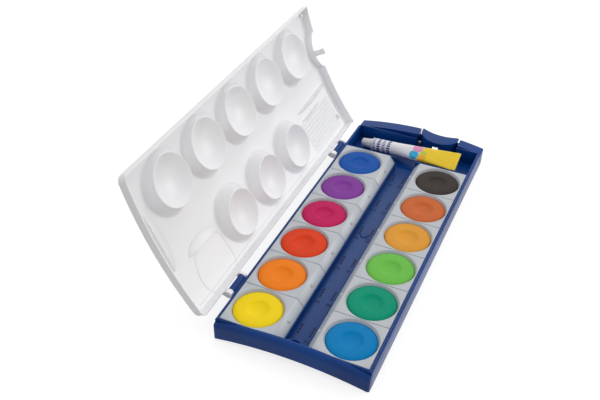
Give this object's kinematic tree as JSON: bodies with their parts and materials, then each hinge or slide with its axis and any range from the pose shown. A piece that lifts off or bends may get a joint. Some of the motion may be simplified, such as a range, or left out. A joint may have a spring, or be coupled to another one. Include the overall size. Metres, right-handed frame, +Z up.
{
  "type": "gouache paint set box",
  "caption": "Shallow tray of round gouache paint pans with a brush channel, a bay holding a tube of white, a thumb latch and a hinged lid whose inside has mixing wells.",
  "frame": {"origin": "table level under the middle of the tray, on the lower face of its middle foot", "axes": "+Z up, +Y along the tray towards the tube bay and the latch, -X towards the lid's hinge"},
  "size_m": [0.1518, 0.253, 0.1033],
  "materials": {
    "tray_plastic": "dark blue moulded plastic, satin to glossy",
    "lid_plastic": "milky white translucent plastic, glossy",
    "pan_plastic": "light grey moulded plastic, satin",
    "tube_foil": "white lacquered foil with printed dots and a yellow tail",
    "cap_plastic": "greyish white plastic, satin",
    "paint_1": "pressed yellow gouache, satin",
    "paint_2": "pressed orange gouache, satin",
    "paint_3": "pressed red gouache, satin",
    "paint_4": "pressed magenta gouache, satin",
    "paint_5": "pressed violet gouache, satin",
    "paint_6": "pressed blue gouache, satin",
    "paint_7": "pressed sky blue gouache, satin",
    "paint_8": "pressed teal gouache, satin",
    "paint_9": "pressed lime gouache, satin",
    "paint_10": "pressed ochre gouache, satin",
    "paint_11": "pressed brown gouache, satin",
    "paint_12": "pressed black gouache, satin"
  },
  "bodies": {
    "tray": {"tray": "tray_plastic"},
    "lid": {"lid_shell": "lid_plastic", "mixing_well_1": "lid_plastic", "mixing_well_2": "lid_plastic", "mixing_well_3": "lid_plastic", "mixing_well_4": "lid_plastic", "mixing_well_5": "lid_plastic", "mixing_well_6": "lid_plastic", "mixing_well_7": "lid_plastic", "mixing_well_8": "lid_plastic"},
    "latch": {"latch": "tray_plastic"},
    "tube": {"tube_body": "tube_foil"},
    "tube cap": {"tube_cap": "cap_plastic"},
    "yellow pan": {"pan_1": "pan_plastic", "paint_1": "paint_1"},
    "orange pan": {"pan_2": "pan_plastic", "paint_2": "paint_2"},
    "red pan": {"pan_3": "pan_plastic", "paint_3": "paint_3"},
    "magenta pan": {"pan_4": "pan_plastic", "paint_4": "paint_4"},
    "violet pan": {"pan_5": "pan_plastic", "paint_5": "paint_5"},
    "blue pan": {"pan_6": "pan_plastic", "paint_6": "paint_6"},
    "sky blue pan": {"pan_7": "pan_plastic", "paint_7": "paint_7"},
    "teal pan": {"pan_8": "pan_plastic", "paint_8": "paint_8"},
    "lime pan": {"pan_9": "pan_plastic", "paint_9": "paint_9"},
    "ochre pan": {"pan_10": "pan_plastic", "paint_10": "paint_10"},
    "brown pan": {"pan_11": "pan_plastic", "paint_11": "paint_11"},
    "black pan": {"pan_12": "pan_plastic", "paint_12": "paint_12"}
  },
  "joints": [
    {"name": "lid_hinge", "type": "hinge", "parent": "tray", "child": "lid", "pos_m": [-0.052, 0, 0.0132], "axis": [0, -1, 0], "range_deg": [-116.2, 63.8]},
    {"name": "latch_flex", "type": "hinge", "parent": "tray", "child": "latch", "pos_m": [0.0146, 0.11147, 0.0055], "axis": [-1, 0, 0], "range_deg": [0, 7], "stiffness_Nm_per_rad": 0.4},
    {"name": "tube_tail_lift", "type": "hinge", "parent": "tray", "child": "tube", "pos_m": [-0.03228, 0.10035, 0.00948], "axis": [-0.0823, -0.9401, -0.3308], "range_deg": [-7, 3.9]},
    {"name": "cap_turn", "type": "hinge", "parent": "tube", "child": "tube cap", "pos_m": [-0.03622, 0.10086, 0.00901], "axis": [-0.9847, 0.1279, -0.1184], "continuous": true},
    {"name": "yellow_pan_lift", "type": "slide", "parent": "tray", "child": "yellow pan", "axis": [0, 0, 1], "range_m": [0, 0.02]},
    {"name": "orange_pan_lift", "type": "slide", "parent": "tray", "child": "orange pan", "axis": [0, 0, 1], "range_m": [0, 0.02]},
    {"name": "red_pan_lift", "type": "slide", "parent": "tray", "child": "red pan", "axis": [0, 0, 1], "range_m": [0, 0.02]},
    {"name": "magenta_pan_lift", "type": "slide", "parent": "tray", "child": "magenta pan", "axis": [0, 0, 1], "range_m": [0, 0.02]},
    {"name": "violet_pan_lift", "type": "slide", "parent": "tray", "child": "violet pan", "axis": [0, 0, 1], "range_m": [0, 0.02]},
    {"name": "blue_pan_lift", "type": "slide", "parent": "tray", "child": "blue pan", "axis": [0, 0, 1], "range_m": [0, 0.02]},
    {"name": "sky_blue_pan_lift", "type": "slide", "parent": "tray", "child": "sky blue pan", "axis": [0, 0, 1], "range_m": [0, 0.02]},
    {"name": "teal_pan_lift", "type": "slide", "parent": "tray", "child": "teal pan", "axis": [0, 0, 1], "range_m": [0, 0.02]},
    {"name": "lime_pan_lift", "type": "slide", "parent": "tray", "child": "lime pan", "axis": [0, 0, 1], "range_m": [0, 0.02]},
    {"name": "ochre_pan_lift", "type": "slide", "parent": "tray", "child": "ochre pan", "axis": [0, 0, 1], "range_m": [0, 0.02]},
    {"name": "brown_pan_lift", "type": "slide", "parent": "tray", "child": "brown pan", "axis": [0, 0, 1], "range_m": [0, 0.02]},
    {"name": "black_pan_lift", "type": "slide", "parent": "tray", "child": "black pan", "axis": [0, 0, 1], "range_m": [0, 0.02]}
  ],
  "couplings": [
    {"joint": "tube_tail_lift", "follows": "lid_hinge", "ratio": 0.0592}
  ]
}
